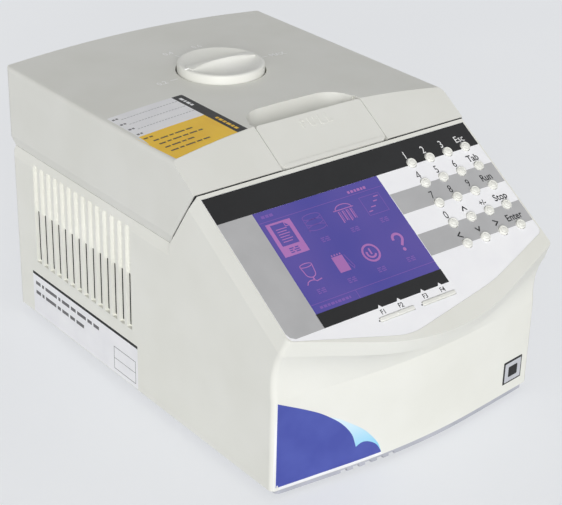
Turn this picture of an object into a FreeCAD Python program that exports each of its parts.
import FreeCAD, Part
import math
import os
import Sketcher

# Gradient thermal cycler. Millimetres and degrees, +Z up, +Y to the rear, +X to the right seen from
# the front. The origin is the middle of the bounding box, at the level of the bench.

Vector = FreeCAD.Vector
doc = FreeCAD.newDocument("ThermalCycler")
sheet = doc.addObject("Spreadsheet::Sheet", "Sizes")

DIMENSIONS = (
    # housing
    ("body_width", 280.0),
    ("base_bottom", 8.0),
    ("deck_level", 164.8),
    ("rear_face", 211.5),
    ("housing_wall", 5.0),
    ("rear_wall", 6.0),
    ("deck_wall", 3.0),
    ("panel_wall", 4.0),
    ("groove_depth", 3.0),
    ("groove_drop", 9.5),
    ("corner_round", 6.0),
    ("front_edge_round", 5.0),
    # sloping control panel: T is the middle of its upper edge
    ("panel_tilt", 32.76),
    ("panel_head_y", -73.75),
    ("panel_head_z", 217.0),
    ("panel_top_margin", 3.5),
    ("bezel_depth", 15.6),
    ("bezel_draft", 2.0),
    ("bezel_corner", 134.0),
    ("bezel_rise", 36.0),
    ("lip_corner", 131.0),
    ("lip_rise", 37.5),
    ("nose_half_width", 70.0),
    ("front_split", -112.5),
    ("front_corner", -171.5),
    ("front_bow", 12.0),
    ("front_top", 88.0),
    ("blend_corner", -170.1),
    ("blend_level", 102.7),
    ("blend_tilt", 10.8),
    ("blend_bow", 19.8),
    ("cavity_front", -163.0),
    ("cavity_reach", 122.0),
    # side vents
    ("vent_first", 19.8),
    ("vent_pitch", 11.33),
    ("vent_count", 14.0),
    ("vent_width", 8.0),
    ("vent_depth", 3.3),
    ("vent_bottom", 63.0),
    ("vent_top", 158.0),
    ("slit_width", 2.0),
    ("slit_top", 114.0),
    # overlay, display and keypad
    ("overlay_thick", 0.6),
    ("overlay_inset", 3.5),
    ("overlay_corner_round", 6.0),
    ("overlay_left_end", 131.0),
    ("overlay_right_end", 118.0),
    ("overlay_bend_x", 62.0),
    ("overlay_bend", 143.0),
    ("overlay_bend_round", 150.0),
    ("overlay_low_x", -38.0),
    ("overlay_low", 160.0),
    ("overlay_low_round", 60.0),
    ("fit_gap", 0.2),
    ("display_left", -103.6),
    ("display_right", 21.9),
    ("display_top", 24.3),
    ("display_bottom", 118.5),
    ("display_thick", 3.0),
    ("module_thick", 9.0),
    ("module_border", 4.0),
    ("key_last_inset", 18.18),
    ("key_first_s", 22.9),
    ("key_pitch_x", 20.24),
    ("key_pitch_s", 20.75),
    ("key_radius", 4.3),
    ("key_rise", 2.4),
    ("key_crown", 3.5),
    ("key_step", 0.5),
    ("key_gap", 0.35),
    ("key_travel", 0.6),
    ("key_flange", 5.0),
    ("key_flange_thick", 1.4),
    ("key_stem", 1.8),
    ("wall_gap", 0.3),
    ("board_depth", 9.5),
    ("board_thick", 1.6),
    ("keypad_side_margin", 10.0),
    ("keypad_end_margin", 9.0),
    ("peg_radius", 1.5),
    ("peg_out", 7.0),
    ("function_key_length", 34.0),
    ("function_key_width", 3.4),
    ("function_key_s", 140.4),
    ("function_key_x", -38.7),
    ("function_key_pitch", 43.2),
    ("function_key_rise", 1.0),
    ("function_key_depth", 6.5),
    ("nub_radius", 1.2),
    ("nub_rise", 0.6),
    ("function_slot_gap", 0.4),
    ("rocker_pin", 1.2),
    ("rocker_pin_depth", 3.4),
    ("running_gap", 0.05),
    # lid
    ("lid_bottom", 165.2),
    ("lid_shoulder", 238.0),
    ("lid_crown", 11.8),
    ("crown_radius", 1450.0),
    ("shoulder_round", 4.0),
    ("lid_rear_top", 215.5),
    ("lid_front_gap", 1.55),
    ("lid_wall", 5.0),
    ("lid_top_wall", 4.0),
    # grip recess and pull handle
    ("scoop_radius", 24.0),
    ("scoop_y", -28.5),
    ("scoop_z", 247.0),
    ("scoop_half_length", 54.0),
    ("scoop_wall", 3.0),
    ("pull_half_width", 54.5),
    ("pull_gap", 0.7),
    ("pull_top", 49.0),
    ("pull_bottom", 4.6),
    ("pull_thick", 5.0),
    ("pull_lip", 0.8),
    ("pull_pocket", 6.5),
    ("pin_s", 16.0),
    ("pin_depth", 4.5),
    ("latch_pin_radius", 2.0),
    ("barrel_radius", 4.4),
    ("barrel_gap", 0.8),
    ("hook_x", 40.0),
    ("hook_width", 6.0),
    ("hook_length", 84.0),
    ("hook_near", 13.5),
    ("hook_far", 20.5),
    ("hook_toe", 2.4),
    ("hook_toe_thick", 4.0),
    ("hook_slot_gap", 3.0),
    ("keeper_thick", 2.5),
    ("keeper_half", 10.0),
    ("keeper_front", -36.0),
    ("keeper_rear", -22.7),
    ("slot_front", -30.0),
    ("slot_rear", 6.0),
    # knob and hot plate
    ("block_y", 87.3),
    ("knob_radius", 38.0),
    ("knob_gap", 1.5),
    ("knob_floor", 238.6),
    ("knob_under", 239.2),
    ("knob_rim_top", 252.0),
    ("knob_bar_top", 254.5),
    ("knob_dish", 245.5),
    ("knob_rim", 3.6),
    ("knob_bevel", 1.2),
    ("knob_bar_half", 13.0),
    ("knob_bar_radius", 62.0),
    ("knob_cup_radius", 44.0),
    ("knob_cup_bottom", 231.0),
    ("screw_radius", 6.0),
    ("screw_end", 190.0),
    ("bush_radius", 12.0),
    ("bush_flange", 17.0),
    ("bush_flange_thick", 3.0),
    ("hot_plate_level", 180.0),
    ("hot_plate_thick", 8.0),
    ("hot_plate_half_x", 60.0),
    ("hot_plate_half_y", 41.0),
    ("carrier_thick", 6.0),
    ("carrier_half_x", 76.0),
    ("carrier_nut_radius", 13.0),
    ("carrier_nut_height", 18.0),
    ("post_radius", 4.0),
    ("post_x", 69.0),
    ("post_y", 30.0),
    ("post_top", 238.4),
    ("cover_level", 170.0),
    ("cover_thick", 2.5),
    ("cover_gap", 0.3),
    ("window_gap", 2.0),
    # sample block and cooling
    ("well_pitch", 9.0),
    ("well_radius", 3.1),
    ("well_depth", 15.0),
    ("well_taper", 6.0),
    ("block_half_x", 57.5),
    ("block_half_y", 39.5),
    ("block_bottom", 148.0),
    ("block_top", 168.0),
    ("frame_flange", 30.0),
    ("frame_flange_thick", 2.2),
    ("frame_wall", 5.0),
    ("frame_gap", 0.5),
    ("peltier_side", 36.0),
    ("peltier_thick", 4.0),
    ("peltier_pitch", 38.0),
    ("sink_half_x", 75.0),
    ("sink_half_y", 54.0),
    ("sink_plate", 11.0),
    ("sink_fin", 48.0),
    ("fin_thick", 2.0),
    ("fin_pitch", 8.0),
    ("fin_count", 14.0),
    ("fan_side", 80.0),
    ("fan_thick", 25.0),
    ("fan_x", 41.5),
    ("fan_gap", 0.3),
    ("fan_bore", 38.5),
    ("fan_hub", 15.0),
    ("fan_motor", 8.0),
    ("fan_strut", 4.0),
    ("blade_reach", 36.0),
    ("blade_thick", 1.4),
    ("blade_half_chord", 7.5),
    ("blade_half_rise", 5.0),
    # base plate, feet and inside units
    ("plate_bottom", 3.5),
    ("plate_inset", 5.0),
    ("plate_front_inset", 0.6),
    ("notch_first", -73.0),
    ("notch_pitch", 11.7),
    ("notch_count", 5.0),
    ("notch_width", 6.0),
    ("notch_height", 2.4),
    ("notch_depth", 12.0),
    ("intake_width", 4.5),
    ("intake_length", 62.0),
    ("intake_pitch", 10.0),
    ("intake_count", 7.0),
    ("foot_radius", 10.0),
    ("foot_x", 112.0),
    ("foot_front", -140.0),
    ("foot_rear", 180.0),
    ("board_level", 20.0),
    ("standoff_x", 100.0),
    ("standoff_front", -145.0),
    ("standoff_rear", 15.0),
    ("board_margin", 10.0),
    ("standoff_radius", 3.0),
    ("supply_half_x", 75.0),
    ("supply_front", 139.0),
    ("supply_rear", 188.0),
    ("supply_top", 52.0),
    # rear panel and its fittings
    ("rear_panel_half", 128.0),
    ("rear_panel_top", 148.0),
    ("rear_panel_thick", 3.0),
    ("inlet_x", 70.0),
    ("inlet_z", 60.0),
    ("inlet_width", 28.0),
    ("inlet_height", 20.0),
    ("inlet_depth", 22.0),
    ("inlet_shell", 2.0),
    ("bezel_rim", 4.0),
    ("inlet_proud", 2.0),
    ("inlet_blade_pitch", 7.0),
    ("inlet_blade_offset", 2.0),
    ("inlet_blade_thick", 2.0),
    ("inlet_blade_height", 4.0),
    ("inlet_blade_set_back", 8.0),
    ("switch_x", 30.0),
    ("switch_width", 14.0),
    ("switch_height", 20.0),
    ("switch_depth", 20.0),
    ("switch_hollow", 12.0),
    ("switch_wall", 2.0),
    ("switch_rim", 2.0),
    ("switch_side_gap", 0.4),
    ("switch_end_gap", 0.8),
    ("switch_pin_radius", 1.5),
    ("switch_pin_depth", 2.0),
    ("switch_pin_end", 1.2),
    ("rocker_depth", 6.0),
    ("rocker_draw", 2.0),
    ("rocker_tip", 0.5),
    ("port_x", -60.0),
    ("port_hole_width", 18.0),
    ("port_hole_height", 10.0),
    ("port_flange_width", 31.0),
    ("port_flange_height", 12.4),
    ("port_flange_thick", 1.0),
    ("port_width", 16.0),
    ("port_height", 8.0),
    ("port_taper", 1.0),
    ("port_behind", 8.0),
    ("port_proud", 4.0),
    ("port_post_x", 12.5),
    ("port_post_radius", 2.4),
    ("port_post_length", 3.6),
    # hinge
    ("hinge_y", 211.0),
    ("hinge_z", 163.0),
    ("hinge_x", 85.0),
    ("hinge_radius", 4.4),
    ("hinge_pin_radius", 2.0),
    ("knuckle_length", 9.4),
    ("knuckle_gap", 0.3),
    ("hinge_length", 30.0),
    ("hinge_leaf", 3.0),
    ("hinge_leaf_bottom", 120.0),
    ("hinge_clearance", 0.8),
    ("lid_arm_thick", 4.0),
    ("lid_arm_height", 40.0),
    ("lid_arm_rise", 0.6),
    ("lid_arm_foot_low", 14.0),
    ("lid_arm_foot_half", 12.0),
    ("screw_head", 4.0),
    ("screw_head_thick", 2.0),
    ("screw_inset", 8.0),
    ("screw_low", 20.0),
    ("screw_high", 138.0),
)


class Size:
    """A length or angle that knows its number and the sheet formula it comes from."""

    def __init__(self, number, formula):
        self.number = float(number)
        self.formula = formula

    def join(self, sign, other, number):
        """The size that a sum, difference, product or quotient gives."""
        return Size(number, f"({self.formula} {sign} {as_size(other).formula})")

    def __add__(self, other):
        return self.join("+", other, self.number + number_of(other))

    def __sub__(self, other):
        return self.join("-", other, self.number - number_of(other))

    def __mul__(self, other):
        return self.join("*", other, self.number * number_of(other))

    def __truediv__(self, other):
        return self.join("/", other, self.number / number_of(other))

    def __radd__(self, other):
        return as_size(other) + self

    def __rsub__(self, other):
        return as_size(other) - self

    def __rmul__(self, other):
        return as_size(other) * self

    def __rtruediv__(self, other):
        return as_size(other) / self

    def __neg__(self):
        return as_size(0) - self


def number_of(value):
    return value.number if isinstance(value, Size) else float(value)


def as_size(value):
    return value if isinstance(value, Size) else Size(value, f"({float(value)})")


def sine(angle):
    return Size(math.sin(math.radians(number_of(angle))), f"sin({as_size(angle).formula})")


def cosine(angle):
    return Size(math.cos(math.radians(number_of(angle))), f"cos({as_size(angle).formula})")


def root(value):
    return Size(math.sqrt(number_of(value)), f"sqrt({as_size(value).formula})")


class Named:
    """Holds the driving dimensions as attributes."""


s = Named()
for row, (word, amount) in enumerate(DIMENSIONS, start=1):
    sheet.set(f"A{row}", word)
    sheet.set(f"B{row}", str(amount))
    sheet.setAlias(f"B{row}", word)
    setattr(s, word, Size(amount, f"Sizes.{word}"))
doc.recompute()

X_AXIS = Vector(1, 0, 0)
Y_AXIS = Vector(0, 1, 0)
Z_AXIS = Vector(0, 0, 1)
BEYOND = 2.0    # how far a cutting shape runs past the face that it opens
PAST = 1.0      # the same for a small cut, and how far a fused piece runs into its neighbour
SIDES = ((-1, "left"), (1, "right"))


# Helpers that make one kind of shape each

def bind(item, path, value):
    if isinstance(value, Size):
        item.setExpression(path, value.formula)


def make(kind, name, **sizes):
    item = doc.addObject(kind, name)
    for key, value in sizes.items():
        setattr(item, key, number_of(value))
        bind(item, key, value)
    return item


def place(item, x=0, y=0, z=0, axis=Z_AXIS, angle=0):
    spot = Vector(number_of(x), number_of(y), number_of(z))
    item.Placement = FreeCAD.Placement(spot, FreeCAD.Rotation(axis, number_of(angle)))
    for letter, value in zip("xyz", (x, y, z)):
        bind(item, f"Placement.Base.{letter}", value)
    bind(item, "Placement.Rotation.Angle", angle)
    return item


def panel_y(along, out=0):
    """Y of the point that lies along down the panel from T and out from its face."""
    return s.panel_head_y - along * cosine(s.panel_tilt) - out * sine(s.panel_tilt)


def panel_z(along, out=0):
    return s.panel_head_z - along * sine(s.panel_tilt) + out * cosine(s.panel_tilt)


def box(name, xs, ys, zs):
    item = make("Part::Box", name, Length=xs[1] - xs[0], Width=ys[1] - ys[0], Height=zs[1] - zs[0])
    return place(item, xs[0], ys[0], zs[0])


def panel_box(name, xs, alongs, outs):
    item = make("Part::Box", name, Length=xs[1] - xs[0], Width=alongs[1] - alongs[0],
                Height=outs[1] - outs[0])
    return place(item, xs[0], panel_y(alongs[1], outs[0]), panel_z(alongs[1], outs[0]), X_AXIS,
                 s.panel_tilt)


def rod(name, x, y, z, radius, length, along="z"):
    """A cylinder that starts at the point and runs towards +X, +Y or +Z."""
    item = make("Part::Cylinder", name, Radius=radius, Height=length)
    turn = {"x": (Y_AXIS, 90), "y": (X_AXIS, -90), "z": (Z_AXIS, 0)}[along]
    return place(item, x, y, z, *turn)


def bar(name, sides, x, y, z, radius, length, along="z"):
    """Like a rod, but with that many flat sides, which touch the circle of the radius."""
    item = make("Part::Prism", name, Circumradius=radius / cosine(180 / sides), Height=length)
    item.Polygon = sides
    turn = {"x": (Y_AXIS, 90), "y": (X_AXIS, -90), "z": (Z_AXIS, 0)}[along]
    return place(item, x, y, z, *turn)


def panel_bar(name, sides, x, along, radius, low, high):
    """A bar that stands on the panel, from low to high out from its face."""
    item = bar(name, sides, 0, 0, 0, radius, high - low)
    return place(item, x, panel_y(along, low), panel_z(along, low), X_AXIS, s.panel_tilt)


def fuse(name, *items):
    item = doc.addObject("Part::MultiFuse", name)
    item.Shapes = list(items)
    return item


def common(name, *items):
    item = doc.addObject("Part::MultiCommon", name)
    item.Shapes = list(items)
    return item


def group(name, *items):
    item = doc.addObject("Part::Compound", name)
    item.Links = list(items)
    return item


def cut(name, base, *tools):
    item = doc.addObject("Part::Cut", name)
    item.Base = base
    item.Tool = tools[0] if len(tools) == 1 else group(f"{name}_tools", *tools)
    return item


def origin_part(body, role):
    return [part for part in body.Origin.OriginFeatures if part.Role == role][0]


def rounding(before, corner, after):
    """Ends and middle of the arc that rounds a corner, from three corners and its radius."""
    here = Vector(number_of(corner[0]), number_of(corner[1]), 0)
    back = (Vector(number_of(before[0]), number_of(before[1]), 0) - here).normalize()
    ahead = (Vector(number_of(after[0]), number_of(after[1]), 0) - here).normalize()
    radius = number_of(corner[2])
    half = back.getAngle(ahead) / 2
    reach = radius / math.tan(half)
    middle = (back + ahead).normalize()
    centre = here + middle * (radius / math.sin(half))
    return here + back * reach, centre - middle * radius, here + ahead * reach


def outline(sketch, corners):
    """A closed loop of lines through the corners (x, y) or (x, y, radius)."""
    count = len(corners)
    arcs = {}
    for i, corner in enumerate(corners):
        if len(corner) == 3:
            arcs[i] = rounding(corners[i - 1], corner, corners[(i + 1) % count])
    plain = [Vector(number_of(corner[0]), number_of(corner[1]), 0) for corner in corners]
    lines = []
    for i in range(count):
        follower = (i + 1) % count
        start = arcs[i][2] if i in arcs else plain[i]
        end = arcs[follower][0] if follower in arcs else plain[follower]
        lines.append(sketch.addGeometry(Part.LineSegment(start, end), False))
    rules = []
    sizes = []
    for i, corner in enumerate(corners):
        into, out = lines[i - 1], lines[i]
        if i in arcs:
            arc = sketch.addGeometry(Part.Arc(*arcs[i]), False)
            point = sketch.addGeometry(Part.Point(plain[i]), True)
            ends = arc_ends(sketch, arc, arcs[i])
            rules.append(Sketcher.Constraint("Tangent", into, 2, arc, ends[0]))
            rules.append(Sketcher.Constraint("Tangent", arc, ends[1], out, 1))
            rules.append(Sketcher.Constraint("PointOnObject", point, 1, into))
            rules.append(Sketcher.Constraint("PointOnObject", point, 1, out))
            sizes.append(("Radius", (arc,), corner[2]))
            held = (point, 1)
        else:
            rules.append(Sketcher.Constraint("Coincident", into, 2, out, 1))
            held = (out, 1)
        sizes.append(("DistanceX", (-1, 1) + held, corner[0]))
        sizes.append(("DistanceY", (-1, 1) + held, corner[1]))
    for kind, where, value in sizes:
        rules.append(Sketcher.Constraint(kind, *where, number_of(value)))
    indexes = sketch.addConstraint(rules)
    for index, (kind, where, value) in zip(indexes[-len(sizes):], sizes):
        bind(sketch, f"Constraints[{index}]", value)


def arc_ends(sketch, arc, points):
    """The arc's own end numbers, in the order in which the loop meets them."""
    start = sketch.getPoint(arc, 1)
    return (1, 2) if start.distanceToPoint(points[0]) < start.distanceToPoint(points[2]) else (2, 1)


def circle(sketch, x, y, radius):
    ring = sketch.addGeometry(Part.Circle(Vector(number_of(x), number_of(y), 0), Z_AXIS, number_of(radius)))
    for kind, where, value in (("DistanceX", (-1, 1, ring, 3), x), ("DistanceY", (-1, 1, ring, 3), y),
                               ("Radius", (ring,), radius)):
        index = sketch.addConstraint(Sketcher.Constraint(kind, *where, number_of(value)))
        bind(sketch, f"Constraints[{index}]", value)


def sketch_in(body, name, plane, offset, loops, rings=(), tilt=None):
    """A sketch parallel to a plane of the body, shifted by offset (x, y, z of the plane's own frame)."""
    sketch = body.newObject("Sketcher::SketchObject", name)
    sketch.AttachmentSupport = [(origin_part(body, plane), "")]
    sketch.MapMode = "FlatFace"
    spot = Vector(*[number_of(value) for value in offset])
    turn = FreeCAD.Rotation(X_AXIS, number_of(tilt or 0))
    sketch.AttachmentOffset = FreeCAD.Placement(spot, turn)
    for letter, value in zip("xyz", offset):
        bind(sketch, f"AttachmentOffset.Base.{letter}", value)
    if tilt is not None:
        bind(sketch, "AttachmentOffset.Rotation.Angle", tilt)
    for loop in loops:
        outline(sketch, loop)
    for ring in rings:
        circle(sketch, *ring)
    return sketch


def pad_in(body, name, plane, loops, low, high, rings=()):
    """A pad of the loops from low to high along X, Y or Z."""
    start = -high if plane == "XZ_Plane" else low
    sketch = sketch_in(body, f"{name}_sketch", plane, (0, 0, start), loops, rings)
    pad = body.newObject("PartDesign::Pad", name)
    pad.Profile = sketch
    pad.Length = number_of(high - low)
    bind(pad, "Length", high - low)
    return pad


def prism(name, plane, corners, low, high, rings=(), inner=()):
    body = doc.addObject("PartDesign::Body", name)
    loops = ([corners] if corners else []) + list(inner)
    pad_in(body, f"{name}_pad", plane, loops, as_size(low), as_size(high), rings)
    return body


def on_panel(body):
    """Stands a body that was drawn flat on the sloping panel."""
    return place(body, 0, s.panel_head_y, s.panel_head_z, X_AXIS, s.panel_tilt)


def panel_prism(name, corners, low, high, rings=(), inner=()):
    """A prism on the panel; its corners and rings are given as x and the distance down from T."""
    turned = [(x, -along) + tuple(rest) for x, along, *rest in corners]
    turned_rings = [(x, -along, radius) for x, along, radius in rings]
    turned_inner = [[(x, -along) + tuple(rest) for x, along, *rest in loop] for loop in inner]
    return on_panel(prism(name, "XY_Plane", turned, low, high, turned_rings, turned_inner))


def rectangle(xs, ys, *radius):
    return [(xs[0], ys[0]) + radius, (xs[1], ys[0]) + radius, (xs[1], ys[1]) + radius,
            (xs[0], ys[1]) + radius]


def polygon(x, y, radius, sides):
    """Corners of a regular polygon whose sides touch the circle of the radius."""
    reach = radius / cosine(180 / sides)
    turns = [(i + 0.5) * 360 / sides for i in range(sides)]
    return [(x + reach * cosine(turn), y + reach * sine(turn)) for turn in turns]


def line_of(body, name, role, pitch, count):
    """A row of count copies at the pitch along one of the axes of the body."""
    pattern = body.newObject("PartDesign::LinearPattern", name)
    pattern.Direction = (origin_part(body, role), [""])
    pattern.Length = number_of(pitch * (count - 1))
    bind(pattern, "Length", pitch * (count - 1))
    pattern.Occurrences = int(number_of(count))
    bind(pattern, "Occurrences", count)
    return pattern


def spread(body, feature, role, pitch, count):
    """Repeats a feature of the body in a row."""
    pattern = line_of(body, f"{feature.Name}_row", role, pitch, count)
    pattern.Originals = [feature]
    body.Tip = pattern


nodes = {}


def node(name, item):
    item.Label = name
    nodes[name] = item
    return item


# Common places

half_width = s.body_width / 2
key_first_x = half_width - s.key_last_inset - 3 * s.key_pitch_x
deck_along = -s.panel_top_margin
lid_along = -(s.panel_top_margin + s.lid_front_gap)
split_along = (s.panel_head_y - s.front_split + s.bezel_depth * sine(s.panel_tilt)) / cosine(s.panel_tilt)


def panel_out_at(level, along):
    """How far out from the panel face a given level is met on the line across the panel at along."""
    return (level - s.panel_head_z + along * sine(s.panel_tilt)) / cosine(s.panel_tilt)


def prow(half, corner, rise, shift=0):
    """Rounded-off V of the front: its two corners, and the nose that stands the rise in front of them."""
    tangent = rise / (half - s.nose_half_width / 2)
    sloped = root(1 + tangent * tangent)
    radius = s.nose_half_width * sloped / tangent
    return [(half, corner, s.front_edge_round), (0, corner + half * tangent + shift, radius),
            (-half, corner, s.front_edge_round)]


# Housing

def main_prism(name):
    """Side view of the base behind the front block."""
    deck_out = panel_out_at(s.deck_level, deck_along)
    corners = [(s.rear_face, s.base_bottom), (s.rear_face, s.deck_level),
               (panel_y(deck_along, deck_out), s.deck_level),
               (panel_y(deck_along, -s.bezel_depth), panel_z(deck_along, -s.bezel_depth)),
               (s.front_split, panel_z(split_along, -s.bezel_depth)),
               (s.front_split, s.base_bottom)]
    side = prism(f"{name}_side", "YZ_Plane", corners, -half_width, half_width)
    plan_corners = [(-half_width, s.front_split), (half_width, s.front_split),
                    (half_width, s.rear_face, s.corner_round), (-half_width, s.rear_face, s.corner_round)]
    plan = prism(f"{name}_plan", "XY_Plane", plan_corners, 0, s.lid_shoulder)
    return common(name, side, plan)


def front_section(body, name, level, tilt, corner, rise):
    """One closed section of the front block, in a plane that turns about its straight rear edge."""
    corners = [(-half_width, 0), (half_width, 0)]
    corners += [(x, -depth, radius) for x, depth, radius in prow(half_width, corner, rise)]
    return sketch_in(body, name, "XY_Plane", (0, s.front_split, level), [corners], tilt=tilt)


def front_block():
    """Bowed lower front, then the hollow that sweeps out to the nose of the bezel."""
    lower = doc.addObject("PartDesign::Body", "front_lower")
    corner = s.front_split - s.front_corner
    foot = front_section(lower, "front_foot", s.base_bottom, 0, corner, s.front_bow)
    belt = front_section(lower, "front_belt", s.front_top, 0, corner, s.front_bow)
    loft_in(lower, "front_lower_loft", foot, [belt], True)
    upper = doc.addObject("PartDesign::Body", "front_upper")
    blend_depth = (s.front_split - s.blend_corner) / cosine(s.blend_tilt)
    blend_rise = s.blend_level + blend_depth * sine(s.blend_tilt)
    start = front_section(upper, "blend_start", s.front_top, 0, corner, s.front_bow)
    middle = front_section(upper, "blend_middle", blend_rise, s.blend_tilt, blend_depth, s.blend_bow)
    end = front_section(upper, "blend_end", panel_z(split_along, -s.bezel_depth), s.panel_tilt,
                        s.bezel_corner - split_along, s.bezel_rise)
    loft_in(upper, "front_upper_loft", start, [middle, end], False)
    return [lower, upper]


def loft_in(body, name, profile, sections, ruled):
    loft = body.newObject("PartDesign::AdditiveLoft", name)
    loft.Profile = profile
    loft.Sections = sections
    loft.Ruled = ruled
    return loft


def bezel():
    """Sloping slab that carries the panel; its rim is drafted."""
    body = doc.addObject("PartDesign::Body", "bezel")
    sketches = []
    for name, out, half, corner, rise in (("bezel_foot", -s.bezel_depth, half_width, s.bezel_corner,
                                           s.bezel_rise),
                                          ("bezel_face", as_size(0), half_width - s.bezel_draft,
                                           s.lip_corner, s.lip_rise)):
        corners = [(-half, s.panel_top_margin), (half, s.panel_top_margin)]
        corners += [(x, -depth, radius) for x, depth, radius in prow(half, corner, rise)]
        sketches.append(sketch_in(body, name, "XY_Plane", (0, 0, out), [corners]))
    loft_in(body, "bezel_loft", sketches[0], [sketches[1]], True)
    return on_panel(body)


def housing_cavity():
    """Room inside the base, open below."""
    inner_deck = s.deck_level - s.deck_wall
    end_out = panel_out_at(inner_deck, as_size(0))
    corners = [(s.rear_face - s.rear_wall, s.base_bottom - BEYOND),
               (s.rear_face - s.rear_wall, inner_deck),
               (panel_y(as_size(0), end_out), inner_deck),
               (panel_y(as_size(0), -s.panel_wall), panel_z(as_size(0), -s.panel_wall)),
               (panel_y(s.cavity_reach, -s.panel_wall), panel_z(s.cavity_reach, -s.panel_wall)),
               (s.cavity_front, s.front_top),
               (s.cavity_front, s.base_bottom - BEYOND)]
    inner = half_width - s.housing_wall
    middle = prism("housing_cavity", "YZ_Plane", corners, -inner, inner)
    corner = s.front_split - s.front_corner - s.housing_wall
    front = [(x, s.front_split - depth, radius) for x, depth, radius in prow(inner, corner, s.front_bow)]
    bow = prism("front_cavity", "XY_Plane", [(-inner, s.front_split), (inner, s.front_split)] + front,
                s.base_bottom - BEYOND, s.front_top - s.housing_wall)
    return [middle, bow]


def groove_cuts():
    """Wedges that bevel the upper rim of the base at both sides and at the rear."""
    low = s.deck_level - s.groove_drop
    front = panel_y(deck_along, panel_out_at(s.deck_level, deck_along))
    wedges = []
    for side in (-1, 1):
        corners = [(side * half_width, low), (side * (half_width + 1), low),
                   (side * (half_width + PAST), s.deck_level + PAST),
                   (side * (half_width - s.groove_depth), s.deck_level + PAST),
                   (side * (half_width - s.groove_depth), s.deck_level)]
        wedges.append(prism(f"groove_side_{side + 1}", "XZ_Plane", corners, front, s.rear_face + PAST))
    corners = [(s.rear_face, low), (s.rear_face + PAST, low), (s.rear_face + PAST, s.deck_level + PAST),
               (s.rear_face - s.groove_depth, s.deck_level + PAST),
               (s.rear_face - s.groove_depth, s.deck_level)]
    wedges.append(prism("groove_rear", "YZ_Plane", corners, -half_width - PAST, half_width + PAST))
    return wedges


def vent_cuts():
    """Rows of upright grooves with a slit in the lower part of each, on both sides."""
    rows = []
    slit_start = s.vent_first + (s.vent_width - s.slit_width) / 2
    for side, word in SIDES:
        skin = side * (half_width - s.vent_depth)
        past = side * (half_width + 1)
        inside = side * (half_width - s.housing_wall - PAST)
        for kind, start, width, top, depth in (("groove", s.vent_first, s.vent_width, s.vent_top, skin),
                                               ("slit", slit_start, s.slit_width, s.slit_top, inside)):
            body = doc.addObject("PartDesign::Body", f"vent_{kind}_{word}")
            low, high = (past, depth) if side < 0 else (depth, past)
            loop = rectangle((start, start + width), (s.vent_bottom, top))
            pad = pad_in(body, f"vent_{kind}_{word}_pad", "YZ_Plane", [loop], low, high)
            spread(body, pad, "Y_Axis", s.vent_pitch, s.vent_count)
            rows.append(body)
    return rows


def overlay_corners(grow=0):
    half = half_width - s.overlay_inset + grow
    soft = s.overlay_corner_round
    return [(-half, 0 - grow), (half, 0 - grow), (half, s.overlay_right_end + grow, soft),
            (s.overlay_bend_x, s.overlay_bend + grow, s.overlay_bend_round),
            (s.overlay_low_x, s.overlay_low + grow, s.overlay_low_round),
            (-half, s.overlay_left_end + grow, soft)]


key_words = (("1", "2", "3", "esc"), ("4", "5", "6", "tab"), ("7", "8", "9", "run"),
             ("0", "up", "sign", "stop"), ("left", "down", "right", "enter"))


def key_spots():
    for row, words in enumerate(key_words):
        for column, word in enumerate(words):
            yield word, key_first_x + s.key_pitch_x * column, s.key_first_s + s.key_pitch_s * row


function_keys = (("f1_f2", s.function_key_x), ("f3_f4", s.function_key_x + s.function_key_pitch))
key_hole = s.key_radius + s.key_gap
KEY_SIDES = 16
KEY_HOLE_SIDES = 12
WELL_SIDES = 8


def key_openings(name, low):
    """Holes for the caps of the keys, from low up to past the face of the panel."""
    return [panel_bar(f"{name}_{word}", KEY_HOLE_SIDES, x, along, key_hole, low, as_size(BEYOND))
            for word, x, along in key_spots()]


def function_slots():
    half = s.function_key_length / 2 + s.function_slot_gap
    width = s.function_key_width / 2 + s.function_slot_gap
    return [rectangle((x - half, x + half), (s.function_key_s - width, s.function_key_s + width))
            for word, x in function_keys]


def display_loop(grow=0):
    return rectangle((s.display_left - grow, s.display_right + grow),
                     (s.display_top - grow, s.display_bottom + grow))


def panel_cuts():
    """Openings in the sloping wall for the overlay, the display, the keys and the function keys."""
    cuts = [panel_prism("overlay_recess", overlay_corners(s.fit_gap), -s.overlay_thick, as_size(BEYOND))]
    cuts.append(panel_prism("display_opening", display_loop(s.fit_gap), -s.panel_wall - PAST, as_size(0)))
    cuts += key_openings("key_opening", -s.panel_wall - PAST)
    floor = -(s.function_key_depth + 1.6)
    for number, loop in enumerate(function_slots()):
        cuts.append(panel_prism(f"function_slot_{number}", loop, floor, as_size(0)))
    for word, x in function_keys:
        length = s.function_key_width + 2 * s.rocker_pin_depth
        start = s.function_key_s + length / 2
        pin = make("Part::Cylinder", f"rocker_seat_{word}", Radius=s.rocker_pin + s.running_gap,
                   Height=length)
        depth = -s.rocker_pin_depth
        cuts.append(place(pin, x, panel_y(start, depth), panel_z(start, depth), X_AXIS, s.panel_tilt - 90))
    return cuts


frame_half_x = s.block_half_x + s.frame_gap + s.frame_wall
frame_half_y = s.block_half_y + s.frame_gap + s.frame_wall


def hook_slots(name, low, high):
    """Slots that the two latch hooks pass through."""
    half = s.hook_width / 2 + s.hook_slot_gap
    slots = []
    for side, word in SIDES:
        x = side * s.hook_x
        slots.append(box(f"{name}_{word}", (x - half, x + half), (s.slot_front, s.slot_rear), (low, high)))
    return slots


def hinge_notches(name, low, high):
    half = s.hinge_length / 2 + 1
    depth = s.hinge_y - s.hinge_radius - s.hinge_clearance
    return [box(f"{name}_{word}", (x - half, x + half), (depth - 4, s.rear_face + 6), (low, high))
            for x, word in ((-s.hinge_x, "left"), (s.hinge_x, "right"))]


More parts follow.
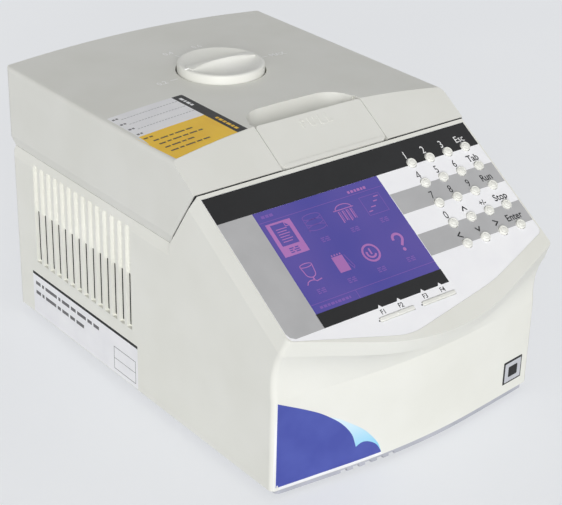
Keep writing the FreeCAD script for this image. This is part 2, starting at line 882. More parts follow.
def main_housing():
    outer = fuse("housing_outer", main_prism("housing_main"), *front_block(), bezel())
    outer.Refine = True
    rear_half = s.rear_panel_half + s.fit_gap
    rear_opening = box("rear_opening", (-rear_half, rear_half),
                       (s.rear_face - 2 * s.housing_wall, s.rear_face + BEYOND),
                       (s.base_bottom - BEYOND, s.rear_panel_top + s.fit_gap))
    deck_opening = box("deck_opening", (-frame_half_x - 1, frame_half_x + 1),
                       (s.block_y - frame_half_y - 1, s.block_y + frame_half_y + 1),
                       (s.deck_level - s.deck_wall - PAST, s.deck_level + PAST))
    notches = hinge_notches("base_notch", s.hinge_z - s.hinge_radius - s.hinge_clearance,
                            s.deck_level + PAST)
    slots = hook_slots("deck_slot", s.deck_level - s.deck_wall - PAST, s.deck_level + PAST)
    return cut("main_housing_cut", outer, *housing_cavity(), rear_opening, deck_opening, *groove_cuts(),
               *vent_cuts(), *panel_cuts(), *notches, *slots)


node("main_housing", main_housing())


# Base plate, feet and rear panel

def base_plate():
    half = half_width - s.plate_inset
    corner = -(s.front_corner + s.plate_front_inset)
    front = [(x, -depth, radius) for x, depth, radius in prow(half, corner, s.front_bow)]
    rear = s.rear_face - s.rear_panel_thick - 1
    sheet_plate = prism("base_sheet", "XY_Plane", [(-half, rear), (half, rear)] + front, s.plate_bottom,
                        s.base_bottom)
    notches = []
    for number in range(int(s.notch_count.number)):
        x = s.notch_first + s.notch_pitch * number
        notches.append(box(f"front_notch_{number}", (x - s.notch_width / 2, x + s.notch_width / 2),
                           (s.front_corner - s.front_bow - 4,
                            s.front_corner - s.front_bow - 4 + s.notch_depth),
                           (s.plate_bottom - PAST, s.plate_bottom + s.notch_height)))
    intakes = []
    for side, word in SIDES:
        body = doc.addObject("PartDesign::Body", f"intake_{word}")
        x = side * s.fan_x
        first = s.block_y - s.intake_pitch * (s.intake_count - 1) / 2
        loop = rectangle((x - s.intake_length / 2, x + s.intake_length / 2),
                         (first - s.intake_width / 2, first + s.intake_width / 2))
        pad = pad_in(body, f"intake_{word}_pad", "XY_Plane", [loop], s.plate_bottom - PAST,
                     s.base_bottom + PAST)
        spread(body, pad, "Y_Axis", s.intake_pitch, s.intake_count)
        intakes.append(body)
    pillars = []
    for number, (x, y) in enumerate(board_corners()):
        pillars.append(bar(f"standoff_{number}", 6, x, y, s.plate_bottom + 2, s.standoff_radius,
                           s.board_level - s.plate_bottom - 2))
    legs = []
    for number, (x, y) in enumerate(fan_legs()):
        legs.append(bar(f"fan_leg_{number}", 6, x, y, s.plate_bottom + 2, s.standoff_radius,
                        fan_bottom - s.plate_bottom - 2))
    for number, x in enumerate((-s.supply_half_x + 10, s.supply_half_x - 10)):
        legs.append(box(f"supply_rail_{number}", (x - 4, x + 4), (s.supply_front, s.supply_rear),
                        (s.base_bottom - PAST, supply_bottom)))
    return cut("base_plate_cut", fuse("base_plate_solid", sheet_plate, *pillars, *legs), *notches, *intakes)


block_under = s.block_bottom
sink_top = block_under - s.peltier_thick
fin_top = sink_top - s.sink_plate
fin_bottom = fin_top - s.sink_fin
fan_top = fin_bottom - s.fan_gap
fan_bottom = fan_top - s.fan_thick
supply_bottom = s.base_bottom + 4


def board_corners():
    return [(side * s.standoff_x, y) for side in (-1, 1) for y in (s.standoff_front, s.standoff_rear)]


def fan_legs():
    reach = s.fan_side / 2 - 6
    return [(side * s.fan_x + dx, s.block_y + dy) for side in (-1, 1) for dx in (-reach, reach)
            for dy in (-reach, reach)]


node("base_plate", base_plate())

feet = []
for number, (x, y) in enumerate(((-1, s.foot_front), (1, s.foot_front), (-1, s.foot_rear),
                                 (1, s.foot_rear))):
    feet.append(bar(f"foot_{number}", 16, x * s.foot_x, y, 0, s.foot_radius, s.plate_bottom))
node("rubber_feet", group("feet", *feet))


def socket_half(width, height):
    return width / 2 + s.fit_gap, height / 2 + s.fit_gap


def rear_panel():
    half = s.rear_panel_half
    low = s.base_bottom + s.fit_gap
    plate = box("rear_plate", (-half, half), (s.rear_face - s.rear_panel_thick, s.rear_face),
                (low, s.rear_panel_top))
    holes = []
    for word, x, width, height in (("inlet", s.inlet_x, s.inlet_width, s.inlet_height),
                                   ("switch", s.switch_x, s.switch_width + 2 * s.switch_wall,
                                    s.switch_height + 2 * s.switch_wall),
                                   ("port", s.port_x, s.port_hole_width, s.port_hole_height)):
        across, up = socket_half(width, height)
        holes.append(box(f"rear_hole_{word}", (x - across, x + across),
                         (s.rear_face - s.rear_panel_thick - PAST, s.rear_face + PAST),
                         (s.inlet_z - up, s.inlet_z + up)))
    return cut("rear_panel_cut", plate, *holes)


node("rear_panel", rear_panel())


def power_inlet():
    """Three-pole appliance inlet: a flanged box with a hollow for the connector and three blades."""
    x, z = s.inlet_x, s.inlet_z
    wide, tall = s.inlet_width / 2, s.inlet_height / 2
    rim = s.bezel_rim
    face = s.rear_face + s.inlet_proud
    flange = box("inlet_flange", (x - wide - rim, x + wide + rim), (s.rear_face, face),
                 (z - tall - rim, z + tall + rim))
    shell = box("inlet_shell", (x - wide, x + wide), (face - s.inlet_depth, face), (z - tall, z + tall))
    hollow = box("inlet_hollow", (x - wide + s.inlet_shell, x + wide - s.inlet_shell),
                 (face - s.inlet_depth + s.inlet_shell, face + PAST),
                 (z - tall + s.inlet_shell, z + tall - s.inlet_shell))
    blades = []
    half_thick, half_tall = s.inlet_blade_thick / 2, s.inlet_blade_height / 2
    for word, across, up in (("left", -1, -1), ("earth", 0, 1), ("right", 1, -1)):
        blade_x, blade_z = x + across * s.inlet_blade_pitch, z + up * s.inlet_blade_offset
        blades.append(box(f"inlet_blade_{word}", (blade_x - half_thick, blade_x + half_thick),
                          (face - s.inlet_depth + PAST, face - s.inlet_blade_set_back),
                          (blade_z - half_tall, blade_z + half_tall)))
    return fuse("inlet", cut("inlet_body", fuse("inlet_solid", flange, shell), hollow), *blades)


node("power_inlet", power_inlet())


def switch_frame():
    """Frame of the rocker switch: a flange, a shell with its hollow and the seat of the pin."""
    x, z = s.switch_x, s.inlet_z
    wide, tall = s.switch_width / 2 + s.switch_wall, s.switch_height / 2 + s.switch_wall
    rim = s.switch_rim
    face = s.rear_face + s.inlet_proud
    flange = box("switch_flange", (x - wide - rim, x + wide + rim), (s.rear_face, face),
                 (z - tall - rim, z + tall + rim))
    shell = box("switch_shell", (x - wide, x + wide), (face - s.switch_depth, face), (z - tall, z + tall))
    room_x = s.switch_width / 2 + s.switch_side_gap
    room_z = s.switch_height / 2 + s.switch_end_gap
    hollow = box("switch_hollow", (x - room_x, x + room_x), (face - s.switch_hollow, face + PAST),
                 (z - room_z, z + room_z))
    seat_half = wide - 0.5
    seat = rod("switch_seat", x - seat_half, s.rear_face - s.switch_pin_depth, z,
               s.switch_pin_radius + s.running_gap, 2 * seat_half, "x")
    return cut("switch_frame_cut", fuse("switch_solid", flange, shell), hollow, seat)


node("switch_frame", switch_frame())


def power_switch():
    """Rocker with two sloping faces, and the pin that it turns on."""
    x, z = s.switch_x, s.inlet_z
    tall = s.switch_height / 2
    face = s.rear_face + s.inlet_proud
    back = s.rear_face - s.rocker_depth
    corners = [(back, z - tall + s.rocker_draw), (back, z + tall - s.rocker_draw),
               (face + s.rocker_tip, z + tall),
               (face - s.rocker_tip, z), (face + s.rocker_tip, z - tall)]
    rocker = prism("switch_rocker", "YZ_Plane", corners, x - s.switch_width / 2, x + s.switch_width / 2)
    pin_half = s.switch_width / 2 + s.switch_pin_end
    pin = rod("switch_pin", x - pin_half, s.rear_face - s.switch_pin_depth, z, s.switch_pin_radius,
              2 * pin_half, "x")
    return fuse("switch_rocker_pin", rocker, pin)


node("power_switch", power_switch())


def serial_port():
    """Port with a flange, a shell with sloping ends and two hexagonal posts."""
    x, z = s.port_x, s.inlet_z
    wide, tall = s.port_flange_width / 2, s.port_flange_height / 2
    flange = box("port_flange", (x - wide, x + wide), (s.rear_face, s.rear_face + s.port_flange_thick),
                 (z - tall, z + tall))
    half, high = s.port_width / 2, s.port_height / 2
    corners = [(x - half, z + high), (x + half, z + high), (x + half - s.port_taper, z - high),
               (x - half + s.port_taper, z - high)]
    shell = prism("port_shell", "XZ_Plane", corners, s.rear_face - s.port_behind, s.rear_face + s.port_proud)
    posts = [bar(f"port_post_{word}", 6, x + side * s.port_post_x, s.rear_face, z, s.port_post_radius,
                 s.port_post_length, "y") for side, word in SIDES]
    return fuse("port", flange, shell, *posts)


node("serial_port", serial_port())


# Display, keypad and overlay

overlay = panel_prism("overlay_film", overlay_corners(), -s.overlay_thick, as_size(0),
                      inner=[display_loop()] + function_slots())
node("panel_overlay", cut("overlay_cut", overlay, *key_openings("overlay_hole", -s.overlay_thick - PAST)))
display = panel_prism("display_glass", display_loop(), -s.overlay_thick - s.display_thick, -s.fit_gap)
node("lcd_window", display)
module_top = -s.panel_wall - s.wall_gap
border = s.module_border
module = panel_box("display_module", (s.display_left - border, s.display_right + border),
                   (s.display_top - border, s.display_bottom + border - 4.5),
                   (module_top - s.module_thick, module_top))
node("lcd_module", module)

board_out = -s.board_depth
keypad = panel_box("keypad_plate",
                   (key_first_x - s.keypad_side_margin,
                    key_first_x + 3 * s.key_pitch_x + s.keypad_side_margin),
                   (s.key_first_s - s.keypad_end_margin,
                    s.key_first_s + 4 * s.key_pitch_s + s.keypad_end_margin),
                   (board_out - s.board_thick, board_out))
pegs = []
for side, word in SIDES:
    for row in (0.5, 3.5):
        x = key_first_x + s.key_pitch_x * 1.5 * (1 + side) + side * s.peg_out
        along = s.key_first_s + s.key_pitch_s * row
        pegs.append(panel_bar(f"keypad_peg_{word}_{int(row)}", 6, x, along, s.peg_radius, board_out,
                              -s.panel_wall))
node("keypad_board", fuse("keypad", keypad, *pegs))


def key_button(name, x, along):
    """Round key with a stepped crown, a flange behind the panel wall and a stem to its contact."""
    under = -s.panel_wall - s.wall_gap
    contact = board_out + s.key_travel + s.fit_gap
    flange_low = under - s.key_flange_thick
    stem = panel_box(f"{name}_stem", (x - s.key_stem, x + s.key_stem),
                     (along - s.key_stem, along + s.key_stem), (contact, under))
    flange = panel_box(f"{name}_flange", (x - s.key_flange, x + s.key_flange),
                       (along - s.key_flange, along + s.key_flange), (flange_low, under))
    cap = panel_bar(f"{name}_cap", KEY_SIDES, x, along, s.key_radius, flange_low, s.key_rise - s.key_step)
    crown = panel_bar(f"{name}_crown", KEY_SIDES, x, along, s.key_crown, flange_low, s.key_rise)
    return fuse(name, stem, flange, cap, crown)


for word, x, along in key_spots():
    node(f"key_{word}", key_button(f"button_{word}", x, along))


def function_key(name, x):
    """Long rocking bar with a nub in the middle, on a pin across it."""
    half = s.function_key_length / 2
    width = s.function_key_width / 2
    body = panel_prism(name, rectangle((x - half, x + half),
                                       (s.function_key_s - width, s.function_key_s + width)),
                       -s.function_key_depth, s.function_key_rise)
    length = s.function_key_width + 2 * s.rocker_pin_depth - 0.6
    start = s.function_key_s + length / 2
    pin = make("Part::Cylinder", f"{name}_pin", Radius=s.rocker_pin, Height=length)
    place(pin, x, panel_y(start, -s.rocker_pin_depth), panel_z(start, -s.rocker_pin_depth), X_AXIS,
          s.panel_tilt - 90)
    nub = panel_bar(f"{name}_nub", 8, x, s.function_key_s, s.nub_radius, as_size(0),
                    s.function_key_rise + s.nub_rise)
    return fuse(f"{name}_whole", body, pin, nub)


for word, x in function_keys:
    node(f"key_{word}", function_key(f"bar_{word}", x))


# Sample block, cooling and inside units

def sample_block():
    body = doc.addObject("PartDesign::Body", "block")
    loop = rectangle((-s.block_half_x, s.block_half_x),
                     (s.block_y - s.block_half_y, s.block_y + s.block_half_y))
    pad_in(body, "block_pad", "XY_Plane", [loop], s.block_bottom, s.block_top)
    columns, rows = as_size(12), as_size(8)
    first_x = -s.well_pitch * (columns - 1) / 2
    first_y = s.block_y - s.well_pitch * (rows - 1) / 2
    mouth = polygon(first_x, first_y, s.well_radius, WELL_SIDES)
    well = body.newObject("PartDesign::Pocket", "well")
    well.Profile = sketch_in(body, "well_mouth", "XY_Plane", (0, 0, s.block_top), [mouth])
    well.Length = s.well_depth.number
    bind(well, "Length", s.well_depth)
    well.TaperAngle = -s.well_taper.number
    bind(well, "TaperAngle", -s.well_taper)
    grid = body.newObject("PartDesign::MultiTransform", "well_grid")
    grid.Originals = [well]
    grid.Transformations = [line_of(body, "well_columns", "X_Axis", s.well_pitch, columns),
                            line_of(body, "well_rows", "Y_Axis", s.well_pitch, rows)]
    body.Tip = grid
    return body


node("sample_block", sample_block())


def block_frame():
    """Surround of the block: a flange on the deck and a skirt down to the heat sink."""
    flange_x = s.block_half_x + s.frame_flange
    flange_y = s.block_half_y + s.frame_flange
    window_x = s.block_half_x + s.frame_gap
    window_y = s.block_half_y + s.frame_gap
    flange = box("frame_flange_plate", (-flange_x, flange_x), (s.block_y - flange_y, s.block_y + flange_y),
                 (s.deck_level, s.deck_level + s.frame_flange_thick))
    skirt = box("frame_skirt", (-frame_half_x, frame_half_x),
                (s.block_y - frame_half_y, s.block_y + frame_half_y),
                (sink_top, s.deck_level + PAST))
    window = box("frame_window", (-window_x, window_x), (s.block_y - window_y, s.block_y + window_y),
                 (sink_top - PAST, s.deck_level + s.frame_flange_thick + PAST))
    return cut("block_frame_cut", fuse("block_frame_solid", flange, skirt), window)


node("block_frame", block_frame())

modules = []
for row in (-0.5, 0.5):
    for column in (-1, 0, 1):
        x = s.peltier_pitch * column
        y = s.block_y + s.peltier_pitch * row
        modules.append(box(f"peltier_{column + 1}_{int(row + 0.5)}",
                           (x - s.peltier_side / 2, x + s.peltier_side / 2),
                           (y - s.peltier_side / 2, y + s.peltier_side / 2), (sink_top, s.block_bottom)))
node("peltier_modules", group("peltiers", *modules))


def heat_sink():
    body = doc.addObject("PartDesign::Body", "sink")
    xs = (-s.sink_half_x, s.sink_half_x)
    first = s.block_y - s.fin_pitch * (s.fin_count - 1) / 2
    fin = pad_in(body, "sink_fin_pad", "XY_Plane", [rectangle(xs,
                                                              (first - s.fin_thick / 2,
                                                               first + s.fin_thick / 2))],
                 fin_bottom, fin_top + 1)
    spread(body, fin, "Y_Axis", s.fin_pitch, s.fin_count)
    loop = rectangle(xs, (s.block_y - s.sink_half_y, s.block_y + s.sink_half_y))
    pad_in(body, "sink_plate_pad", "XY_Plane", [loop], fin_top, sink_top)
    return body


node("heat_sink", heat_sink())


def fan_frame(word, x):
    half = s.fan_side / 2
    frame = box(f"fan_box_{word}", (x - half, x + half), (s.block_y - half, s.block_y + half),
                (fan_bottom, fan_top))
    bore = rod(f"fan_bore_{word}", x, s.block_y, fan_bottom - PAST, s.fan_bore, s.fan_thick + 2)
    motor = bar(f"fan_motor_{word}", 12, x, s.block_y, fan_bottom, s.fan_hub, s.fan_motor)
    struts = []
    for number, (across, along) in enumerate(((half - 1, s.fan_strut / 2), (s.fan_strut / 2, half - 1))):
        struts.append(box(f"fan_strut_{word}_{number}", (x - across, x + across),
                          (s.block_y - along, s.block_y + along), (fan_bottom, fan_bottom + 3)))
    shaft_hole = rod(f"fan_shaft_hole_{word}", x, s.block_y, fan_bottom + 3, 2 + s.running_gap, s.fan_motor)
    return cut(f"fan_frame_{word}", fuse(f"fan_solid_{word}", cut(f"fan_ring_{word}", frame, bore), motor,
                                         *struts),
               shaft_hole)


def fan_rotor(word, x):
    """Hub with seven pitched blades and a shaft that turns in the motor."""
    body = doc.addObject("PartDesign::Body", f"rotor_{word}")
    hub_bottom = s.fan_motor + 0.5
    hub_top = s.fan_thick - 1.5
    pad_in(body, f"rotor_shaft_{word}", "XY_Plane", [], as_size(4), hub_bottom + 1, [(0, 0, as_size(2))])
    middle = (hub_bottom + hub_top) / 2
    chord, rise, thick = s.blade_half_chord, s.blade_half_rise, s.blade_thick
    blade = pad_in(body, f"rotor_blade_{word}", "YZ_Plane",
                   [[(-chord, middle - rise), (-chord + thick, middle - rise), (chord, middle + rise),
                     (chord - thick, middle + rise)]], s.fan_hub - 3, s.blade_reach)
    turned = body.newObject("PartDesign::PolarPattern", f"rotor_blades_{word}")
    turned.Originals = [blade]
    turned.Axis = (origin_part(body, "Z_Axis"), [""])
    turned.Angle = 360
    turned.Occurrences = 7
    body.Tip = turned
    pad_in(body, f"rotor_hub_{word}", "XY_Plane", [polygon(0, 0, s.fan_hub, 14)], hub_bottom, hub_top)
    return place(body, x, s.block_y, fan_bottom)


fans = (("left", -s.fan_x), ("right", s.fan_x))
node("fan_frames", group("fan_pair", *[fan_frame(word, x) for word, x in fans]))
for word, x in fans:
    node(f"fan_rotor_{word}", fan_rotor(word, x))

supply = box("supply_case", (-s.supply_half_x, s.supply_half_x), (s.supply_front, s.supply_rear),
             (supply_bottom, s.supply_top))
node("power_supply", supply)


def main_board():
    """Board on its pillars with its largest units, each with its middle, width, depth and height."""
    half = s.standoff_x + s.board_margin
    top = s.board_level + s.board_thick
    plate = box("board_sheet", (-half, half),
                (s.standoff_front - s.board_margin, s.standoff_rear + s.board_margin), (s.board_level, top))
    units = []
    for word, x, y, wide, deep, tall in (("processor", -60, -120, 40, 40, 4),
                                         ("memory", 20, -110, 30, 30, 3),
                                         ("capacitors", 70, -60, 24, 50, 18),
                                         ("relays", -70, -30, 50, 20, 12),
                                         ("connector", 0, -20, 36, 14, 9)):
        units.append(box(f"board_{word}", (x - wide / 2, x + wide / 2), (y - deep / 2, y + deep / 2),
                         (top - 0.5, top + tall)))
    return fuse("board", plate, *units)


node("main_board", main_board())


# Hinge between the base and the lid

def hinge_brackets():
    parts = []
    half = s.hinge_length / 2
    lower = s.hinge_z - s.hinge_radius + 0.2
    inner = s.rear_face - s.rear_wall
    for side, word in SIDES:
        x = side * s.hinge_x
        leaf = box(f"leaf_{word}", (x - half, x + half), (inner - s.hinge_leaf, inner),
                   (s.hinge_leaf_bottom, s.hinge_z))
        pieces = [leaf]
        for number, start in enumerate((x - half, x + s.knuckle_length / 2 + s.knuckle_gap)):
            length = half - s.knuckle_length / 2 - s.knuckle_gap
            pieces.append(rod(f"knuckle_{word}_{number}", start, s.hinge_y, s.hinge_z, s.hinge_radius,
                              length, "x"))
            pieces.append(box(f"web_{word}_{number}", (start, start + length), (inner - PAST, s.hinge_y),
                              (lower, s.hinge_z)))
        bore = rod(f"bracket_bore_{word}", x - half - 1, s.hinge_y, s.hinge_z, s.hinge_pin_radius,
                   s.hinge_length + 2, "x")
        gap = box(f"bracket_gap_{word}", (x - s.knuckle_length / 2 - s.knuckle_gap,
                                          x + s.knuckle_length / 2 + s.knuckle_gap),
                  (inner - s.hinge_leaf - PAST, s.hinge_y),
                  (s.hinge_z - s.hinge_radius - 0.5, s.hinge_z + PAST))
        parts.append(cut(f"bracket_{word}", fuse(f"bracket_solid_{word}", *pieces), bore, gap))
    return group("brackets", *parts)


node("hinge_brackets", hinge_brackets())
pins = [rod(f"hinge_pin_{word}", side * s.hinge_x - s.hinge_length / 2, s.hinge_y, s.hinge_z,
            s.hinge_pin_radius,
            s.hinge_length, "x") for side, word in SIDES]
node("hinge_pins", group("pins", *pins))


def lid_hinge_arms():
    parts = []
    for side, word in SIDES:
        x = side * s.hinge_x
        half = s.knuckle_length / 2
        inner = s.rear_face - s.lid_wall
        knuckle = rod(f"lid_knuckle_{word}", x - half, s.hinge_y, s.hinge_z, s.hinge_radius,
                      s.knuckle_length, "x")
        low = s.hinge_z + s.lid_arm_rise
        high = s.hinge_z + s.lid_arm_height
        ys = (inner - s.lid_arm_thick, inner - s.fit_gap)
        web = box(f"lid_web_{word}", (x - half, x + half), (inner - s.lid_arm_thick, s.hinge_y),
                  (low, s.hinge_z + s.hinge_radius))
        arm = box(f"lid_arm_{word}", (x - half, x + half), ys, (low, high))
        foot = box(f"lid_arm_foot_{word}", (x - s.lid_arm_foot_half, x + s.lid_arm_foot_half), ys,
                   (s.hinge_z + s.lid_arm_foot_low, high))
        bore = rod(f"lid_bore_{word}", x - half - 1, s.hinge_y, s.hinge_z,
                   s.hinge_pin_radius + s.running_gap,
                   s.knuckle_length + 2, "x")
        parts.append(cut(f"lid_arm_cut_{word}", fuse(f"lid_arm_solid_{word}", knuckle, web, arm, foot),
                         bore))
    return group("lid_arms", *parts)


node("lid_hinge_arms", lid_hinge_arms())


# Lid

def lid_form(name, inset, top_inset, bevel, floor):
    """Lid as the common part of its side, front and plan views, drawn in by the insets."""
    along = lid_along - inset
    above = s.lid_shoulder + s.lid_crown
    top_along = -(above - s.panel_head_z) / sine(s.panel_tilt)
    side_corners = [(panel_y(along, panel_out_at(floor, along)), floor),
                    (s.rear_face - inset - bevel, floor),
                    (s.rear_face - inset, s.lid_bottom + s.groove_drop),
                    (s.lid_rear_top - inset, above), (panel_y(top_along, -top_inset), above),
                    (panel_y(along, -top_inset), panel_z(along, -top_inset))]
    side = prism(f"{name}_side", "YZ_Plane", side_corners, -half_width, half_width)
    half = half_width - inset
    shoulder = s.lid_shoulder - top_inset
    front_corners = [(-half + bevel, floor), (-half, s.lid_bottom + s.groove_drop),
                     (-half, shoulder, s.shoulder_round), (0, shoulder + s.lid_crown, s.crown_radius),
                     (half, shoulder, s.shoulder_round), (half, s.lid_bottom + s.groove_drop),
                     (half - bevel, floor)]
    front = prism(f"{name}_front", "XZ_Plane", front_corners, s.front_corner, s.rear_face + 20)
    rear = s.lid_rear_top + 1 - inset
    plan_corners = [(-half, s.front_corner), (half, s.front_corner),
                    (half, rear, s.corner_round + 2), (-half, rear, s.corner_round + 2)]
    plan = prism(f"{name}_plan", "XY_Plane", plan_corners, s.lid_bottom - BEYOND, above)
    return common(name, side, front, plan)


def capsule(name, radius):
    """Round-ended hollow that the fingers go into behind the pull handle."""
    reach = s.scoop_half_length - s.scoop_radius
    middle = rod(f"{name}_middle", -reach, s.scoop_y, s.scoop_z, radius, 2 * reach, "x")
    ends = [place(make("Part::Sphere", f"{name}_end_{word}", Radius=radius), side * reach, s.scoop_y,
                  s.scoop_z)
            for side, word in SIDES]
    return fuse(name, middle, *ends)


pin_along = -s.pin_s
pin_out = -s.pin_depth
pin_y = panel_y(pin_along, pin_out)
pin_z = panel_z(pin_along, pin_out)
pocket_half = s.pull_half_width + s.pull_gap
ear_half = pocket_half + 6


def lid_shell():
    outer = lid_form("lid_outer", 0, 0, s.groove_depth, s.lid_bottom)
    cavity = lid_form("lid_cavity", s.lid_wall, s.lid_top_wall, 0, s.lid_bottom - BEYOND)
    hollow = cut("lid_hollow", outer, cavity)
    cup = rod("knob_cup", 0, s.block_y, s.knob_cup_bottom, s.knob_cup_radius,
              s.knob_floor - s.knob_cup_bottom + 3)
    scoop_back = common("scoop_backing", outer, capsule("scoop_outer", s.scoop_radius + s.scoop_wall))
    backing = common("pull_backing", outer,
                     panel_box("pull_backing_block", (-ear_half, ear_half),
                               (-(s.pull_top - 8), lid_along - s.lid_wall + PAST), (-14, as_size(0))))
    solid = fuse("lid_solid", hollow, cup, scoop_back, backing)
    knob_seat = rod("knob_seat", 0, s.block_y, s.knob_floor, s.knob_radius + s.knob_gap, 20)
    bush_hole = rod("bush_hole", 0, s.block_y, s.knob_cup_bottom - PAST, s.bush_radius + s.fit_gap,
                    s.knob_floor - s.knob_cup_bottom + 2)
    pocket = panel_box("pull_pocket", (-pocket_half, pocket_half), (-(s.pull_top + 6), lid_along + 3),
                       (-s.pull_pocket, as_size(8)))
    barrel_room = rod("barrel_room", -pocket_half, pin_y, pin_z, s.barrel_radius + s.barrel_gap,
                      2 * pocket_half, "x")
    pin_hole = rod("latch_pin_hole", -ear_half + PAST, pin_y, pin_z, s.latch_pin_radius, 2 * ear_half - 2,
                   "x")
    arms = []
    half = s.hook_width / 2 + 1
    for side, word in SIDES:
        x = side * s.hook_x
        arms.append(panel_box(f"arm_slot_{word}", (x - half, x + half),
                              (-s.hook_far - 4, -s.hook_near + 2.8),
                              (-30, -2)))
    notches = hinge_notches("lid_notch", s.lid_bottom - PAST, s.hinge_z + s.hinge_radius + s.hinge_clearance)
    return cut("lid_shell_cut", solid, knob_seat, bush_hole, pocket, barrel_room, pin_hole,
               capsule("scoop", s.scoop_radius), *arms, *notches)


node("lid_shell", lid_shell())


def pull_handle():
    """Pull handle: a plate with a light crease, a raised lower lip and a barrel for its pin."""
    half = s.pull_half_width
    top, bottom = -s.pull_top, -s.pull_bottom
    plate = panel_prism("pull_plate", [(-half, top, 3), (half, top, 3), (half, bottom, 6),
                                       (-half, bottom, 6)],
                        -s.pull_thick, as_size(0))
    lip = panel_prism("pull_lip_bar", [(-half + 3, bottom - 4, 1.9), (half - 3, bottom - 4, 1.9),
                                       (half - 3, bottom, 1.9), (-half + 3, bottom, 1.9)], -s.pull_thick,
                                       s.pull_lip)
    barrel = rod("pull_barrel", -half, pin_y, pin_z, s.barrel_radius, 2 * half, "x")
    bore = rod("pull_bore", -half - 1, pin_y, pin_z, s.latch_pin_radius + s.running_gap, 2 * half + 2, "x")
    hook_gaps = []
    reach = s.hook_width / 2 + s.fit_gap
    for side, word in SIDES:
        x = side * s.hook_x
        hook_gaps.append(panel_box(f"hook_gap_{word}", (x - reach, x + reach),
                                   (-s.hook_far - 0.2, -s.hook_near + 2.2),
                                   (-12, -1.8)))
    return cut("pull_cut", fuse("pull_solid", plate, lip, barrel), bore, *hook_gaps)


node("pull_handle", pull_handle())
node("latch_pin", rod("latch_pin_rod", -ear_half + PAST, pin_y, pin_z, s.latch_pin_radius, 2 * ear_half - 2,
                      "x"))


def latch_hooks():
    """Two flat arms behind the handle; each ends in a toe that meets its keeper."""
    arms = []
    for side, word in SIDES:
        x = side * s.hook_x
        xs = (x - s.hook_width / 2, x + s.hook_width / 2)
        arm = panel_box(f"hook_arm_{word}", xs, (-s.hook_far, -s.hook_near), (-s.hook_length, as_size(-2)))
        eye = rod(f"hook_eye_{word}", xs[0], pin_y, pin_z, s.latch_pin_radius + s.running_gap, s.hook_width,
                  "x")
        toe = panel_box(f"hook_toe_{word}", xs, (-s.hook_near - PAST, -s.hook_near + s.hook_toe),
                        (-s.hook_length, -s.hook_length + s.hook_toe_thick))
        arms.append(cut(f"hook_{word}", fuse(f"hook_solid_{word}", arm, toe), eye))
    return group("hooks", *arms)


node("latch_hooks", latch_hooks())

keepers = []
keeper_top = s.deck_level - s.deck_wall
for side, word in SIDES:
    x = side * s.hook_x
    keepers.append(box(f"keeper_{word}", (x - s.keeper_half, x + s.keeper_half),
                       (s.keeper_front, s.keeper_rear),
                       (keeper_top - s.keeper_thick, keeper_top)))
node("latch_keeper", group("keepers", *keepers))


def lid_inner_cover():
    """Sheet that closes the lid below, with a window for the hot plate and slots for the hooks."""
    inner = s.lid_wall + s.cover_gap
    along = lid_along - inner
    front = panel_y(along, panel_out_at(s.cover_level, along))
    half = half_width - inner
    window_x = s.hot_plate_half_x + s.window_gap
    window_y = s.hot_plate_half_y + s.window_gap
    window = rectangle((-window_x, window_x), (s.block_y - window_y, s.block_y + window_y), 4)
    plate = prism("cover_plate", "XY_Plane",
                  rectangle((-half, half), (front, s.rear_face - inner), 3), s.cover_level,
                  s.cover_level + s.cover_thick, inner=[window])
    arm_rooms = [box(f"arm_room_{word}", (x - 15, x + 15), (s.rear_face - inner - 6, s.rear_face),
                     (s.cover_level - 1, s.cover_level + s.cover_thick + 1))
                 for x, word in ((-s.hinge_x, "left"), (s.hinge_x, "right"))]
    return cut("cover_cut", plate, *arm_rooms,
               *hook_slots("cover_slot", s.cover_level - 1, s.cover_level + s.cover_thick + 1))


node("lid_inner_cover", lid_inner_cover())


# Knob, lead screw and hot plate

def pressure_knob():
    """Turned disc with two crescent hollows that leave a grip bar across it."""
    body = doc.addObject("PartDesign::Body", "knob")
    radius = s.knob_radius
    tall = s.knob_rim_top - s.knob_under
    corners = [(0, 0), (radius, 0), (radius, tall - s.knob_bevel), (radius - s.knob_bevel, tall), (0, tall)]
    profile = sketch_in(body, "knob_profile", "XZ_Plane", (0, 0, 0), [corners])
    turn = body.newObject("PartDesign::Revolution", "knob_turn")
    turn.Profile = profile
    turn.ReferenceAxis = (origin_part(body, "Z_Axis"), [""])
    turn.Angle = 360
    place(body, 0, s.block_y, s.knob_under)
    inside = radius - s.knob_rim
    dish = rod("knob_dish_disc", 0, s.block_y, s.knob_dish, inside, s.knob_rim_top - s.knob_dish + BEYOND)
    lens = common("knob_lens", *[rod(f"knob_lens_{word}", 0,
                                     s.block_y + side * (s.knob_bar_radius - s.knob_bar_half),
                                     s.knob_dish - PAST, s.knob_bar_radius,
                                     s.knob_bar_top - s.knob_dish + PAST)
                                 for side, word in ((-1, "front"), (1, "rear"))])
    bar = common("knob_bar", lens, rod("knob_bar_disc", 0, s.block_y, s.knob_dish - PAST, inside,
                                       s.knob_bar_top - s.knob_dish + PAST))
    return fuse("knob_whole", cut("knob_dished", body, dish), bar)


node("pressure_knob", pressure_knob())
node("lead_screw", rod("screw_rod", 0, s.block_y, s.screw_end, s.screw_radius, s.knob_under - s.screw_end))


def knob_bush():
    bore = s.screw_radius + s.running_gap
    sleeve = rod("bush_sleeve", 0, s.block_y, s.knob_cup_bottom, s.bush_radius,
                 s.knob_floor - s.knob_cup_bottom)
    flange = rod("bush_flange_disc", 0, s.block_y, s.knob_cup_bottom - s.bush_flange_thick, s.bush_flange,
                 s.bush_flange_thick)
    hole = rod("bush_bore", 0, s.block_y, s.knob_cup_bottom - s.bush_flange_thick - PAST, bore, 20)
    return cut("bush_cut", fuse("bush_solid", sleeve, flange), hole)


node("knob_bush", knob_bush())

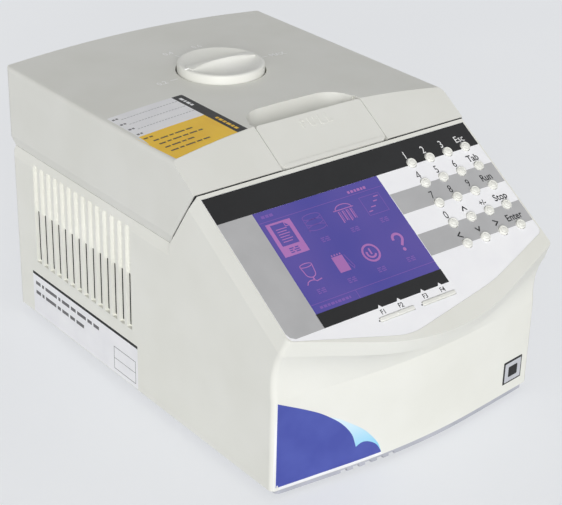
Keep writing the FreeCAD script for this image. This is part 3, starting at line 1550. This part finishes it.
plate_top = s.hot_plate_level + s.hot_plate_thick
hot_plate = prism("hot_plate", "XY_Plane",
                  rectangle((-s.hot_plate_half_x, s.hot_plate_half_x),
                            (s.block_y - s.hot_plate_half_y, s.block_y + s.hot_plate_half_y), 4),
                  s.hot_plate_level, plate_top)
node("heated_plate", hot_plate)


def post_spots():
    return [(x * s.post_x, s.block_y + y * s.post_y) for x in (-1, 1) for y in (-1, 1)]


def plate_carrier():
    """Carrier of the hot plate: nut in the middle for the lead screw, a bore at each guide post."""
    plate = prism("carrier_plate", "XY_Plane",
                  rectangle((-s.carrier_half_x, s.carrier_half_x),
                            (s.block_y - s.hot_plate_half_y, s.block_y + s.hot_plate_half_y)),
                  plate_top, plate_top + s.carrier_thick,
                  [(x, y, s.post_radius + s.running_gap) for x, y in post_spots()])
    nut = bar("carrier_nut", 6, 0, s.block_y, plate_top, s.carrier_nut_radius, s.carrier_nut_height)
    bore = rod("carrier_bore", 0, s.block_y, plate_top - PAST, s.screw_radius + s.running_gap,
               s.carrier_nut_height + 2)
    return cut("carrier_cut", fuse("carrier_solid", plate, nut), bore)


node("plate_carrier", plate_carrier())
posts = [rod(f"post_{number}", x, y, s.cover_level + s.cover_thick, s.post_radius,
             s.post_top - s.cover_level - s.cover_thick) for number, (x, y) in enumerate(post_spots())]
node("guide_posts", group("post_set", *posts))


# Fasteners

rear_screws = []
for side, word in SIDES:
    for height, z in (("low", s.screw_low), ("high", s.screw_high)):
        rear_screws.append(bar(f"rear_screw_{word}_{height}", 12, side * (s.rear_panel_half - s.screw_inset),
                               s.rear_face, z, s.screw_head, s.screw_head_thick, "y"))
node("housing_screws", group("rear_screw_set", *rear_screws))


# Check and write

doc.recompute()
wrong = [item.Name for item in doc.Objects if "Invalid" in item.State or "Error" in item.State]
for name, item in nodes.items():
    if item.Shape.isNull() or not item.Shape.isValid() or not item.Shape.Solids:
        wrong.append(name)
if wrong:
    raise SystemExit(f"not built: {wrong}")
os.makedirs("parts", exist_ok=True)
for name, item in nodes.items():
    item.Shape.exportStep(f"parts/{name}.step")
print(len(nodes), "nodes")
